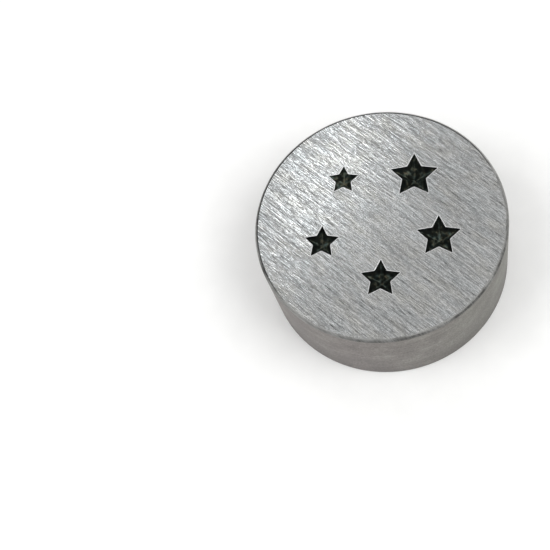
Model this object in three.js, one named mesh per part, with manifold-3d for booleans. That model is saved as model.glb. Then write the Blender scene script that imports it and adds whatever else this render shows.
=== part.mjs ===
// Star impression die: one solid disc of tool steel with five star-shaped cavities sunk into its ground
// working face. Sheet metal is laid over a cavity and driven down into it by a punch or a press pad, and
// comes out as a domed, faceted star. The die has no other pieces, and nothing on it moves.
//
// Millimetres, +Z up. The origin is the centre of the base, the working face looks up, and every star
// has one point towards +Y.

import * as THREE from "three";
import { mergeVertices } from "three/addons/utils/BufferGeometryUtils.js";
import Module from "manifold-3d";

const INCH = 25.4;

// The blank, sawn from round bar and faced.
const DISC_DIAMETER = (7 / 4) * INCH;
const DISC_THICKNESS = (11 / 16) * INCH;
const TOP_EDGE_BREAK = 0.35;
const BASE_EDGE_BREAK = 0.35;
const RIM_SEGMENTS = 180;

// The cavities, smallest first. A span is the diameter of the circle through a star's five points.
const STAR_SPANS = [7 / 32, 8 / 32, 9 / 32, 10 / 32, 11 / 32].map((inches) => inches * INCH);
// A tip radius is half of a span.
const STAR_POINTS = 5;
const NOTCH_PER_TIP = 0.5; // radius at the notches between the points, per tip radius
const FACET_DROP_PER_TIP = 0.55; // fall of the facets to the deepest spot, per tip radius
const RIM_WALL = 0.2; // upright wall round the star's outline, above its facets
const CUTTER_RISE = 1; // how far a cutter stands above the working face

// The ring of cavities, centred on the disc.
const RING_RADIUS = (27 / 64) * INCH;
const RING_START = THREE.MathUtils.degToRad(128); // bearing of the smallest star, from +X
const RING_STEP = (2 * Math.PI) / STAR_SPANS.length;

const wasm = await Module();
wasm.setup();

// A closed three.js geometry as a manifold-3d solid.
function solidOf(geometry) {
  const bare = geometry.clone();
  bare.deleteAttribute("normal");
  bare.deleteAttribute("uv");
  const merged = mergeVertices(bare, 1e-4);
  return new wasm.Manifold(
    new wasm.Mesh({
      numProp: 3,
      vertProperties: merged.getAttribute("position").array,
      triVerts: new Uint32Array(merged.index.array),
    }),
  );
}

// A manifold-3d solid as a flat-shaded three.js geometry.
function geometryOf(solid) {
  const { numProp, vertProperties, triVerts } = solid.getMesh();
  const places = new Float32Array((vertProperties.length / numProp) * 3);
  for (let i = 0; i < places.length / 3; i++) {
    places.set(vertProperties.subarray(i * numProp, i * numProp + 3), i * 3);
  }
  const geometry = new THREE.BufferGeometry();
  geometry.setAttribute("position", new THREE.BufferAttribute(places, 3));
  geometry.setIndex(new THREE.BufferAttribute(triVerts, 1));
  const flat = geometry.toNonIndexed();
  flat.computeVertexNormals();
  return flat;
}

// A profile of [radius, height] pairs turned about +Z.
function turned(profile, segments) {
  const points = profile.map(([radius, height]) => new THREE.Vector2(radius, height));
  return new THREE.LatheGeometry(points, segments).rotateX(Math.PI / 2);
}

// The plain disc, with both of its corners chamfered.
function blank() {
  const radius = DISC_DIAMETER / 2;
  const profile = [
    [0, 0],
    [radius - BASE_EDGE_BREAK, 0],
    [radius, BASE_EDGE_BREAK],
    [radius, DISC_THICKNESS - TOP_EDGE_BREAK],
    [radius - TOP_EDGE_BREAK, DISC_THICKNESS],
    [0, DISC_THICKNESS],
  ];
  return turned(profile, RIM_SEGMENTS);
}

// What one cavity removes, with the working face at z = 0 and one point towards +Y: a short star-shaped
// wall over a star-shaped pyramid that hangs point down. It is turned with two sides for each point of
// the star, and every second corner is then drawn in to make the notches.
function starCutter(span) {
  const tip = span / 2;
  const profile = [
    [0, -RIM_WALL - FACET_DROP_PER_TIP * tip],
    [tip, -RIM_WALL],
    [tip, CUTTER_RISE],
    [0, CUTTER_RISE],
  ];
  const sides = 2 * STAR_POINTS;
  const cutter = turned(profile, sides);
  const places = cutter.getAttribute("position");
  for (let i = 0; i < places.count; i++) {
    const bearing = Math.atan2(places.getY(i), places.getX(i)) - Math.PI / 2;
    const corner = Math.round((bearing * sides) / (2 * Math.PI));
    const share = corner % 2 === 0 ? 1 : NOTCH_PER_TIP;
    places.setXY(i, places.getX(i) * share, places.getY(i) * share);
  }
  return cutter;
}

// The disc with its ring of cavities.
function dieBlock() {
  let block = solidOf(blank());
  STAR_SPANS.forEach((span, place) => {
    const bearing = RING_START + place * RING_STEP;
    const cutter = starCutter(span).translate(
      RING_RADIUS * Math.cos(bearing),
      RING_RADIUS * Math.sin(bearing),
      DISC_THICKNESS,
    );
    block = block.subtract(solidOf(cutter));
  });
  return geometryOf(block);
}

const toolSteel = new THREE.MeshStandardMaterial({
  name: "tool_steel",
  color: 0x9d9d9b,
  roughness: 0.4,
  metalness: 1,
});

const die = new THREE.Group();
const block = new THREE.Mesh(dieBlock(), toolSteel);
block.name = "die_block";
die.add(block);

export default die;
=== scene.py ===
# Star impression die: the finish of its one piece, a disc of ground tool steel with a ring of star cavities.
# Metres throughout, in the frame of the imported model: +Z up, origin at the centre of the base.

import math

import bmesh
import bpy
from mathutils import Matrix, Vector, noise
from mathutils.geometry import intersect_point_line


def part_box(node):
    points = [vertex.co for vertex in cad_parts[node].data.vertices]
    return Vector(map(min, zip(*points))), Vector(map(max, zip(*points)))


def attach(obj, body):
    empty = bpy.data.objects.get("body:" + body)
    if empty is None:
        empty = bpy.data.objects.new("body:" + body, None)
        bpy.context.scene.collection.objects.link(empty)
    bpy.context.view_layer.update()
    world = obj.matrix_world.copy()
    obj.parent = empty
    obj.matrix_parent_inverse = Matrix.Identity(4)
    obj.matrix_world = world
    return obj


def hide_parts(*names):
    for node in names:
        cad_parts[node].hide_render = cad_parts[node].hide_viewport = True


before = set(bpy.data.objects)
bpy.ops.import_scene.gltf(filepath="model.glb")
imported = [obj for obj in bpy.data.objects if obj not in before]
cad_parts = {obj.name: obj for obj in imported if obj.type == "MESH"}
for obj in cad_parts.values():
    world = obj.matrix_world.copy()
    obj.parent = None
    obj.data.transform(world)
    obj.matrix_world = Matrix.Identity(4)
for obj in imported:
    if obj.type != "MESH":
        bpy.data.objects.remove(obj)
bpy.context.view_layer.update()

MM = 0.001
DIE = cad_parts["die_block"]
BASE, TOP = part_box("die_block")
HAIR = 0.001 * MM  # how far inside the CAD disc's edge the finished one stays
RADIUS = TOP.x - HAIR
FACE_Z = TOP.z

# ---------------------------------------------------------------- sizes

RIM_SEGMENTS = 360
EDGE_BREAK = 0.35 * MM  # the chamfer at both corners of the disc
EDGE_ROUND = 0.04 * MM  # the soft line where a chamfer meets its neighbours
BREAK_WANDER = 0.06 * MM  # how unevenly the working face's edge was broken
BREAK_WANDER_SPAN = 7 * MM
BURR_LINE = 0.19 * MM  # the dark line on the working face just inside its chamfer

STAR_REACH = 6 * MM  # a star's corners all lie nearer than this to its deepest spot
RIM_WALL = 0.2 * MM  # the upright wall under a star's outline
CORNER_ROUND = 0.14 * MM  # how far from its point each corner of an outline starts to round
CORNER_STEPS = 3
LIP = 0.14 * MM  # the burnished band round each star
LIP_ROUND = 0.03 * MM  # the soft line where that band turns down into the star
FACET_CUTS = 12
EROSION = 0.03 * MM  # how far an eroded facet rises and falls
EROSION_SPAN = 0.5 * MM
EROSION_OCTAVES = 3
VALLEY_LIGHT_HALF_WIDTH = 0.18 * MM  # half the width of the painted highlight along the floor of each star's valleys

SMOOTH_ANGLE = math.radians(32)  # faces that meet at more than this keep a sharp edge
LEVEL = 0.9999  # how upright the normal of a face is that is shaded flat
NEAR = 0.01 * MM  # points nearer than this count as one, or as level

# Bearings, from +X.
GRAIN = math.radians(139.7)  # of the grinding strokes
DRIFT = math.radians(1)  # how far the longer strokes turn from the shortest ones
STRAY = math.radians(12)  # how far the strokes of an earlier pass lie from them, the other way
RUBBED_SIDE = math.radians(230)  # where the working face's edge is rubbed pale
REFLECTION_SIDE = math.radians(75)  # where its chamfer is painted palest, a painted reflection of the pale surroundings
FADED_SIDE = math.radians(315)  # where the dark line inside its chamfer is faint
LAMPLIT_SIDE = math.radians(128)  # of the smallest star, on whose side the cavities get painted lamp light
ACROSS = Vector((-math.sin(GRAIN), math.cos(GRAIN), 0))
UPWARDS = Vector((0, 0, 1))

# The slots of the die's mesh, in the order of FINISHES below.
GROUND, TURNED, BROKEN, BURR, BURNISHED, ERODED = range(6)

# ---------------------------------------------------------------- shape


def cavities():
    """For each star of the CAD die, its corners on the working face, in order, and its deepest spot."""
    copy = bmesh.new()
    copy.from_mesh(DIE.data)
    bmesh.ops.remove_doubles(copy, verts=copy.verts, dist=NEAR)
    inside = [v.co.copy() for v in copy.verts if v.co.xy.length < RADIUS - 2 * EDGE_BREAK]
    copy.free()
    found = []
    for pit in (p for p in inside if BASE.z + EDGE_BREAK < p.z < FACE_Z - 2 * RIM_WALL):
        near = [p for p in inside if (p - pit).xy.length < STAR_REACH]
        corners = [p for p in near if p.z > FACE_Z - RIM_WALL / 2]
        corners.sort(key=lambda p: math.atan2(p.y - pit.y, p.x - pit.x))
        found.append((corners, pit))
    return found


def turned_wall(bm):
    """The outer wall and its two chamfers: one profile spun round, from the working face to the base."""
    profile = [
        (RADIUS - EDGE_BREAK - BURR_LINE, FACE_Z),
        (RADIUS - EDGE_BREAK, FACE_Z),
        (RADIUS, FACE_Z - EDGE_BREAK),
        (RADIUS, BASE.z + EDGE_BREAK),
        (RADIUS - EDGE_BREAK, BASE.z),
    ]
    verts = [bm.verts.new((radius, 0, height)) for radius, height in profile]
    edges = [bm.edges.new(pair) for pair in zip(verts, verts[1:])]
    bmesh.ops.spin(
        bm,
        geom=verts + edges,
        cent=(0, 0, 0),
        axis=(0, 0, 1),
        angle=math.tau,
        steps=RIM_SEGMENTS,
        use_merge=True,
    )
    for face in bm.faces:
        height = face.calc_center_median().z
        if height > FACE_Z - EDGE_BREAK / 4:
            face.material_index = BURR
        elif BASE.z + EDGE_BREAK < height < FACE_Z - EDGE_BREAK:
            face.material_index = TURNED
        else:
            face.material_index = BROKEN
    for vert in bm.verts:
        if vert.co.z > FACE_Z - EDGE_BREAK / 2:
            vert.co.xy *= 1 + BREAK_WANDER / RADIUS * noise.noise(vert.co / BREAK_WANDER_SPAN)


def cavity(bm, corners, pit):
    """One star sunk below the working face: a burnished lip, an upright wall, and facets down to the pit."""
    made = bmesh.new()
    painted_valley_light = made.verts.layers.float.new("painted_valley_light")
    star = made.faces.new([made.verts.new(corner) for corner in corners])
    bmesh.ops.bevel(
        made,
        geom=star.verts[:],
        offset=CORNER_ROUND,
        offset_type="OFFSET",
        segments=CORNER_STEPS,
        profile=0.5,
        affect="VERTICES",
        material=-1,
    )
    mouth = next(iter(made.faces))
    outline = mouth.verts[:]
    outset = []
    for i, vert in enumerate(outline):
        way = outline[(i + 1) % len(outline)].co - outline[i - 1].co
        outset.append(made.verts.new(vert.co + LIP * way.cross(UPWARDS).normalized()))
    for i, vert in enumerate(outline):
        band = made.faces.new((vert, outline[i - 1], outset[i - 1], outset[i]))
        band.material_index = BURNISHED
    lowered = bmesh.ops.extrude_face_region(made, geom=[mouth])["geom"]
    floor = [item for item in lowered if isinstance(item, bmesh.types.BMFace)]
    foot = [item for item in lowered if isinstance(item, bmesh.types.BMVert)]
    bmesh.ops.delete(made, geom=[mouth], context="FACES_ONLY")
    bmesh.ops.translate(made, verts=foot, vec=(0, 0, -RIM_WALL))
    poked = bmesh.ops.poke(made, faces=floor)
    poked["verts"][0].co = pit
    facet_edges = list({edge for face in poked["faces"] for edge in face.edges})
    bmesh.ops.subdivide_edges(made, edges=facet_edges, cuts=FACET_CUTS, use_grid_fill=True)
    bmesh.ops.recalc_face_normals(made, faces=made.faces)
    if sum(face.normal.z for face in made.faces) < 0:
        bmesh.ops.reverse_faces(made, faces=made.faces)
    made.normal_update()
    for face in made.faces:
        if face.material_index != BURNISHED:
            face.material_index = ERODED
    tips = sorted(corners, key=lambda corner: (corner - pit).xy.length)[len(corners) // 2 :]
    for vert in made.verts:
        below = FACE_Z - RIM_WALL - vert.co.z
        if below > 0:
            floors = [intersect_point_line(vert.co, tip, pit)[0] for tip in tips]
            off = min((vert.co - spot).xy.length for spot in floors)
            # a painted highlight along each valley floor, where its rounded floor would catch light from
            # above
            vert[painted_valley_light] = max(0, 1 - off / VALLEY_LIGHT_HALF_WIDTH)
            rise = noise.fractal(vert.co / EROSION_SPAN, 1.0, 2.0, EROSION_OCTAVES)
            vert.co += vert.normal * EROSION * rise * min(1, below / RIM_WALL)
    mesh = bpy.data.meshes.new("cavity")
    made.to_mesh(mesh)
    made.free()
    bm.from_mesh(mesh)
    bpy.data.meshes.remove(mesh)


def close_flat(bm, height, slot):
    """Fills the open edges at one height, the working face round its cavities or the plain base."""
    loose = [edge for edge in bm.edges if edge.is_boundary]
    rim = [edge for edge in loose if all(abs(vert.co.z - height) < NEAR for vert in edge.verts)]
    filled = bmesh.ops.triangle_fill(bm, edges=rim, use_beauty=True)["geom"]
    for face in (item for item in filled if isinstance(item, bmesh.types.BMFace)):
        face.material_index = slot


def soften(bm, edges, width, steps, slot=None):
    """Rounds edges off, and gives the new faces a slot of their own."""
    made = bmesh.ops.bevel(
        bm,
        geom=edges,
        offset=width,
        offset_type="OFFSET",
        segments=steps,
        profile=0.5,
        affect="EDGES",
        material=-1,
    )
    if slot is not None:
        for face in made["faces"]:
            face.material_index = slot


def between(bm, one, other):
    """The edges where two slots meet."""
    return [e for e in bm.edges if {face.material_index for face in e.link_faces} == {one, other}]


def die():
    """The whole die as one closed mesh."""
    bm = bmesh.new()
    bm.verts.layers.float.new("painted_valley_light")
    turned_wall(bm)
    for corners, pit in cavities():
        cavity(bm, corners, pit)
    close_flat(bm, FACE_Z, GROUND)
    close_flat(bm, BASE.z, GROUND)
    bmesh.ops.recalc_face_normals(bm, faces=bm.faces)
    soften(bm, between(bm, BURNISHED, ERODED), LIP_ROUND, 2, BURNISHED)
    edges = between(bm, BURR, BROKEN) + between(bm, GROUND, BROKEN) + between(bm, TURNED, BROKEN)
    soften(bm, edges, EDGE_ROUND, 2)
    mesh = bpy.data.meshes.new("finished_die")
    bm.to_mesh(mesh)
    bm.free()
    mesh.set_sharp_from_angle(angle=SMOOTH_ANGLE)
    for face in mesh.polygons:
        face.use_smooth = abs(face.normal.z) < LEVEL
    deep = [
        vert.co.z < FACE_Z - RIM_WALL - LIP_ROUND and vert.co.xy.length < RADIUS - 2 * EDGE_BREAK
        for vert in mesh.vertices
    ]
    for edge in mesh.edges:
        if any(deep[i] for i in edge.vertices):
            edge.use_edge_sharp = False
    piece = bpy.data.objects.new("finished_die", mesh)
    bpy.context.scene.collection.objects.link(piece)
    return piece


# ---------------------------------------------------------------- finishes

# A Mix node's sockets when it mixes colours: three that go in, and the one that comes out.
SHARE, UNDER, OVER = 0, 6, 7
MIXED = 2


def linear(code):
    """An sRGB hex colour as linear RGBA."""
    parts = [int(code[i : i + 2], 16) / 255 for i in (1, 3, 5)]
    return (*(c / 12.92 if c <= 0.04045 else ((c + 0.055) / 1.055) ** 2.4 for c in parts), 1)


def add(tree, kind, inputs=None, **settings):
    """Adds a shader node with its settings, and sets or links its inputs."""
    made = tree.nodes.new(kind)
    for name, value in settings.items():
        setattr(made, name, value)
    for name, value in (inputs or {}).items():
        if isinstance(value, bpy.types.NodeSocket):
            tree.links.new(value, made.inputs[name])
        else:
            made.inputs[name].default_value = value
    return made


def start(name, **fixed):
    """A new material with one shader, and the place on the object that its patterns read."""
    material = bpy.data.materials.new(name)
    material.use_nodes = True
    tree = material.node_tree
    tree.nodes.clear()
    shader = add(tree, "ShaderNodeBsdfPrincipled", fixed)
    add(tree, "ShaderNodeOutputMaterial", {"Surface": shader.outputs["BSDF"]})
    place = add(tree, "ShaderNodeTexCoord").outputs["Object"]
    return material, tree, shader, place


def grain(tree, place, size, turn=0.0, detail=2.0):
    """A noise whose grains have the given size, in metres along its own X, Y and Z, turned about Z."""
    turned = {"Vector": place, "Rotation": (0, 0, turn), "Scale": size}
    laid = add(tree, "ShaderNodeMapping", turned, vector_type="TEXTURE").outputs[0]
    inputs = {"Vector": laid, "Scale": 1.0, "Detail": detail, "Roughness": 0.55}
    return add(tree, "ShaderNodeTexNoise", inputs).outputs["Fac"]


def weigh(tree, shares):
    """The sum of several patterns, each times its share."""
    total = None
    for pattern, share in shares:
        inputs = {0: pattern, 1: share, 2: total if total is not None else 0.0}
        total = add(tree, "ShaderNodeMath", inputs, operation="MULTIPLY_ADD").outputs[0]
    return total


def towards(bearing):
    """The way that runs from 0 at the middle of the die to 1 at its edge on one bearing."""
    return Vector((math.cos(bearing), math.sin(bearing), 0)) / RADIUS


def moved(low, high, to_low, to_high):
    """The settings that move one range of values to another."""
    return {"From Min": low, "From Max": high, "To Min": to_low, "To Max": to_high}


def along(tree, place, way, low, high, to_low, to_high):
    """A value that changes evenly along one way, between two places on it."""
    far = add(tree, "ShaderNodeVectorMath", {0: place, 1: way}, operation="DOT_PRODUCT").outputs["Value"]
    inputs = {"Value": far, **moved(low, high, to_low, to_high)}
    return add(tree, "ShaderNodeMapRange", inputs).outputs[0]


def dress(tree, shader, layers, rough=None, relief=None):
    """Joins patterns to a shader. Each layer of colour is a pattern, its range from low to high, and the
    colours spread evenly over that range, and each later layer tints the ones before it. Roughness follows
    a pattern from one range to another, and relief is a pattern and its depth in metres."""
    colour = None
    for pattern, low, high, colours in layers:
        ramp = add(tree, "ShaderNodeValToRGB", {"Fac": pattern})
        stops = ramp.color_ramp.elements
        while len(stops) < len(colours):
            stops.new(0.5)
        for i, code in enumerate(colours):
            stops[i].position = low + (high - low) * i / (len(colours) - 1)
            stops[i].color = linear(code)
        shown = ramp.outputs["Color"]
        if colour is not None:
            inputs = {SHARE: 1.0, UNDER: colour, OVER: shown}
            mix = add(tree, "ShaderNodeMix", inputs, data_type="RGBA", blend_type="MULTIPLY")
            shown = mix.outputs[MIXED]
        colour = shown
    tree.links.new(colour, shader.inputs["Base Color"])
    if rough is not None:
        inputs = {"Value": rough[0], **moved(*rough[1:])}
        tree.links.new(add(tree, "ShaderNodeMapRange", inputs).outputs[0], shader.inputs["Roughness"])
    if relief is not None:
        inputs = {"Height": relief[0], "Distance": relief[1], "Strength": 1.0}
        tree.links.new(add(tree, "ShaderNodeBump", inputs).outputs[0], shader.inputs["Normal"])


def ground_tool_steel():
    """Tool steel ground on a belt. The strokes overlap, most of them within a few degrees of one bearing,
    so the face is satin, streaked light and dark, and the strokes glitter where a lamp is reflected. Real
    strokes are a few hundredths of a millimetre wide, and these are drawn coarser so that they show."""
    material, tree, shader, place = start("ground_tool_steel", Metallic=1.0)
    fine = grain(tree, place, (2.2 * MM, 0.095 * MM, MM), GRAIN + DRIFT)
    dash = grain(tree, place, (0.6 * MM, 0.1 * MM, MM), GRAIN)
    long = grain(tree, place, (8 * MM, 0.12 * MM, MM), GRAIN + DRIFT)
    stray = grain(tree, place, (3 * MM, 0.11 * MM, MM), GRAIN - STRAY)
    grit = grain(tree, place, (0.14 * MM, 0.14 * MM, MM))
    patch = grain(tree, place, (7 * MM, 0.9 * MM, MM), GRAIN + DRIFT)
    score = grain(tree, place, (2.2 * MM, 0.1 * MM, MM), GRAIN + 2 * DRIFT, detail=1.0)
    groove = grain(tree, place, (1.8 * MM, 0.11 * MM, MM), GRAIN + DRIFT, detail=0.5)
    deepest = {"Value": score, **moved(0.58, 0.7, 0.0, -0.14)}
    scored = add(tree, "ShaderNodeMapRange", deepest).outputs[0]
    strokes = weigh(tree, [(fine, 0.32), (dash, 0.3), (long, 0.25), (stray, 0.13)])
    tone = weigh(tree, [(strokes, 0.82), (patch, 0.05), (grit, 0.13), (scored, 0.4)])
    grooves = weigh(tree, [(groove, 0.55), (long, 0.35), (stray, 0.1), (scored, 0.9)])
    tarnish = grain(tree, place, (4 * MM, 2 * MM, MM), GRAIN, detail=4.0)
    steel = (tone, 0.365, 0.565, ["#4a4b4b", "#888989", "#b5b6b6", "#e0e1e1"])
    tint = (tarnish, 0.36, 0.64, ["#fefdf9", "#fefefd", "#fbfdfd"])
    dress(tree, shader, [steel, tint], (strokes, 0.43, 0.57, 0.3, 0.15), (grooves, 0.028 * MM))
    return material


def turned_tool_steel():
    """The bar's turned wall: dull and a little warm, with faint rings round it, soft clouds and grit.
    Painted shade makes it darker near the base, where the wall reflects the floor's contact shadow, and a
    faint film of oil turns it from pink to green across the die."""
    material, tree, shader, place = start("turned_tool_steel", Metallic=1.0)
    rings = grain(tree, place, (14 * MM, 14 * MM, 0.2 * MM))
    clouds = grain(tree, place, (4 * MM, 4 * MM, 3 * MM), detail=3.0)
    grit = grain(tree, place, (0.32 * MM, 0.32 * MM, 0.32 * MM))
    # painted shade: darker towards the base, where the wall reflects the floor's contact shadow
    painted_base_shade = along(tree, place, UPWARDS, 0.0, FACE_Z / 2, -0.08, 0.0)
    film = along(tree, place, towards(0.0), -1.0, 1.0, 0.0, 1.0)
    tone = weigh(tree, [(rings, 0.24), (clouds, 0.4), (grit, 0.36), (painted_base_shade, 1.0)])
    marks = weigh(tree, [(rings, 0.6), (grit, 0.4)])
    steel = (tone, 0.34, 0.62, ["#676361", "#827e7c", "#9b9b96"])
    tint = (film, 0.4, 0.9, ["#fffcfc", "#fcfffa"])
    dress(tree, shader, [steel, tint], (clouds, 0.3, 0.7, 0.46, 0.58), (marks, 0.006 * MM))
    return material


def broken_steel_edge():
    """The chamfer left by the lathe: never ground, so it is a little darker than the face and duller. It is
    painted palest at the back, a painted reflection of the pale surroundings there."""
    material, tree, shader, place = start("broken_steel_edge", Metallic=1.0)
    stretches = grain(tree, place, (5 * MM, 5 * MM, 5 * MM))
    nicks = grain(tree, place, (1.5 * MM, 0.2 * MM, MM), GRAIN)
    rubbed = along(tree, place, towards(RUBBED_SIDE), 0.9, 0.96, 0.0, 1.0)
    # painted reflection: the chamfer paler towards the back, as if reflecting the pale surroundings
    pale = along(tree, place, towards(REFLECTION_SIDE), 0.1, 0.85, 0.0, 0.24)
    tone = weigh(tree, [(stretches, 0.6), (nicks, 0.4), (rubbed, 0.15), (pale, 1.0)])
    steel = (tone, 0.42, 0.82, ["#626260", "#9a9a98", "#bdbdbb"])
    dress(tree, shader, [steel], (nicks, 0.3, 0.7, 0.34, 0.46))
    return material


def oiled_burr_line():
    """The line just inside the chamfer, where a fine burr holds oil and grinding dust: dark, and broken into
    stretches. It is faint on one side, and pale where the edge was rubbed."""
    material, tree, shader, place = start("oiled_burr_line", **{"Specular IOR Level": 0.2})
    stretches = grain(tree, place, (2 * MM, 2 * MM, 2 * MM))
    rubbed = along(tree, place, towards(RUBBED_SIDE), 0.9, 0.96, 0.0, 1.0)
    faded = along(tree, place, towards(FADED_SIDE), -0.1, 0.4, 0.0, 0.5)
    tone = weigh(tree, [(stretches, 1.0), (rubbed, 0.4), (faded, 1.0)])
    oil = (tone, 0.52, 1.0, ["#121212", "#4a4a48", "#848482"])
    dress(tree, shader, [oil], (stretches, 0.3, 0.7, 0.4, 0.5))
    return material


def burnished_steel_lip():
    """The band round each star, rubbed bright as its burr was taken off."""
    material, tree, shader, place = start("burnished_steel_lip", Metallic=1.0)
    rubs = grain(tree, place, (0.5 * MM, 0.5 * MM, 0.5 * MM))
    steel = (rubs, 0.35, 0.65, ["#c8c8c8", "#d6d6d6", "#e4e4e4"])
    dress(tree, shader, [steel], (rubs, 0.3, 0.7, 0.26, 0.36))
    return material


def spark_eroded_steel():
    """The cavities' facets, sunk by spark erosion and left black: an oxide skin, brown in places and
    blue-green in others, with an orange-peel that gives small dull glints. Painted shade makes it blackest
    under the rim, with a little painted light towards the pit; a painted highlight makes it paler along the
    creases that run from the points down to the pit, and painted lamp light makes it paler on the side of
    the smallest star. Real peel is a few hundredths of a millimetre across, and it is drawn coarser so that
    it shows."""
    material, tree, shader, place = start("spark_eroded_steel", IOR=1.5, **{"Specular IOR Level": 0.12})
    blotch = grain(tree, place, (0.8 * MM, 0.8 * MM, 0.8 * MM), detail=2.0)
    peel = grain(tree, place, (0.13 * MM, 0.13 * MM, 0.13 * MM))
    oxide = grain(tree, place, (0.7 * MM, 0.7 * MM, 0.7 * MM), detail=1.0)
    # the painted highlight along the valley floors, set on the mesh
    painted_valley_light = add(tree, "ShaderNodeAttribute", attribute_name="painted_valley_light").outputs["Fac"]
    # painted shade just under the rim, lightening to a little painted light towards the pit
    depth = along(tree, place, UPWARDS, FACE_Z - RIM_WALL, FACE_Z - 6 * RIM_WALL, -0.14, 0.03)
    # painted lamp light: the cavities paler on the side of the smallest star, as if nearer the lamp
    painted_lamp_light = along(tree, place, towards(LAMPLIT_SIDE), 0.2, 0.5, 0.0, 0.11)
    tone = weigh(tree, [(blotch, 0.8), (peel, 0.2), (painted_valley_light, 0.1), (depth, 1.0), (painted_lamp_light, 1.0)])
    skin = (tone, 0.34, 0.72, ["#030404", "#191d1a", "#62655d"])
    tint = (oxide, 0.36, 0.64, ["#fff0dc", "#f6fff6", "#dcf6ff"])
    dress(tree, shader, [skin, tint], (blotch, 0.3, 0.7, 0.36, 0.5), (peel, 0.03 * MM))
    return material


def studio_paper():
    """The pale matt sheet that the die stands on."""
    material, tree, shader, place = start("studio_paper", Roughness=0.9)
    fibre = grain(tree, place, (6 * MM, 6 * MM, 6 * MM))
    dress(tree, shader, [(fibre, 0.3, 0.7, ["#f3f3f2", "#f6f6f5"])])
    return material


FINISHES = (
    ground_tool_steel,
    turned_tool_steel,
    broken_steel_edge,
    oiled_burr_line,
    burnished_steel_lip,
    spark_eroded_steel,
)

# ---------------------------------------------------------------- studio

FLOOR_HALF = 5.0  # half of one side of the floor

LENS = 70.38  # in millimetres, like the width of the sensor
SENSOR = 36.0
CAMERA_TURN = math.radians(26.91)
CAMERA_ELEVATION = math.radians(65.62)
CAMERA_ROLL = math.radians(25.84)
CAMERA_DISTANCE = 204.2 * MM
CLIP_START = 10 * MM
# How far right of the view's centre, and below it, the base's centre lies. It is above, so that is negative.
FRAMING = Vector((21.41 * MM, -2.84 * MM))

# Each softbox's place, its long and short side, its power in watts and its colour.
SOFTBOXES = {
    "sheen_softbox": ((-0.048, 0.139, 0.262), 0.034, 0.030, 0.0128, "#f8fcff"),
    "left_softbox": ((-0.40, -0.12, 0.62), 0.40, 0.40, 1.65, "#ffffff"),
    "right_softbox": ((0.40, -0.12, 0.62), 0.40, 0.40, 2.35, "#ffffff"),
}

SKY_LOW = 0.28  # how bright the room is at the level of the floor
SKY_HIGH = 0.68  # and from SKY_TURN up, as the height of a unit vector
SKY_TURN = 0.55


def camera():
    """Looks down on the working face from near by, rolled so that the stars stand upright in view."""
    ahead = Vector((
        -math.sin(CAMERA_TURN) * math.cos(CAMERA_ELEVATION),
        math.cos(CAMERA_TURN) * math.cos(CAMERA_ELEVATION),
        -math.sin(CAMERA_ELEVATION),
    ))
    level = Vector((math.cos(CAMERA_TURN), math.sin(CAMERA_TURN), 0))
    under = ahead.cross(level)
    right = math.cos(CAMERA_ROLL) * level + math.sin(CAMERA_ROLL) * under
    down = ahead.cross(right)
    place = -CAMERA_DISTANCE * ahead - FRAMING.x * right - FRAMING.y * down
    data = bpy.data.cameras.new("camera")
    data.lens = LENS
    data.sensor_width = SENSOR
    data.clip_start = CLIP_START
    made = bpy.data.objects.new("camera", data)
    made.matrix_world = Matrix.Translation(place) @ Matrix((right, -down, -ahead)).transposed().to_4x4()
    bpy.context.scene.collection.objects.link(made)
    bpy.context.scene.camera = made


def softbox(name, place, long, short, power, tint):
    """An area lamp that faces the middle of the die, with its long side across the grain."""
    data = bpy.data.lights.new(name, "AREA")
    data.shape = "RECTANGLE"
    data.size = long
    data.size_y = short
    data.energy = power
    data.color = linear(tint)[:3]
    back = (Vector(place) - Vector((0, 0, FACE_Z))).normalized()
    side = (ACROSS - ACROSS.dot(back) * back).normalized()
    turn = Matrix((side, back.cross(side), back)).transposed().to_4x4()
    made = bpy.data.objects.new(name, data)
    made.matrix_world = Matrix.Translation(place) @ turn
    bpy.context.scene.collection.objects.link(made)


def studio():
    """A pale floor under an even sky, a small softbox whose reflection lies on the working face, and two
    large ones that light the wall from either side."""
    grid = bmesh.new()
    bmesh.ops.create_grid(grid, x_segments=1, y_segments=1, size=FLOOR_HALF)
    mesh = bpy.data.meshes.new("floor")
    grid.to_mesh(mesh)
    grid.free()
    mesh.materials.append(studio_paper())
    floor = bpy.data.objects.new("floor", mesh)
    bpy.context.scene.collection.objects.link(floor)
    for name, facts in SOFTBOXES.items():
        softbox(name, *facts)
    world = bpy.data.worlds.new("studio")
    world.use_nodes = True
    tree = world.node_tree
    way = add(tree, "ShaderNodeTexCoord").outputs["Generated"]
    strength = along(tree, way, UPWARDS, 0.0, SKY_TURN, SKY_LOW, SKY_HIGH)
    tree.nodes["Background"].inputs["Color"].default_value = linear("#ffffff")
    tree.links.new(strength, tree.nodes["Background"].inputs["Strength"])
    bpy.context.scene.world = world
    bpy.context.scene.view_settings.view_transform = "Standard"


camera()
studio()
piece = die()
for finish in FINISHES:
    piece.data.materials.append(finish())
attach(piece, "root")
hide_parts("die_block")
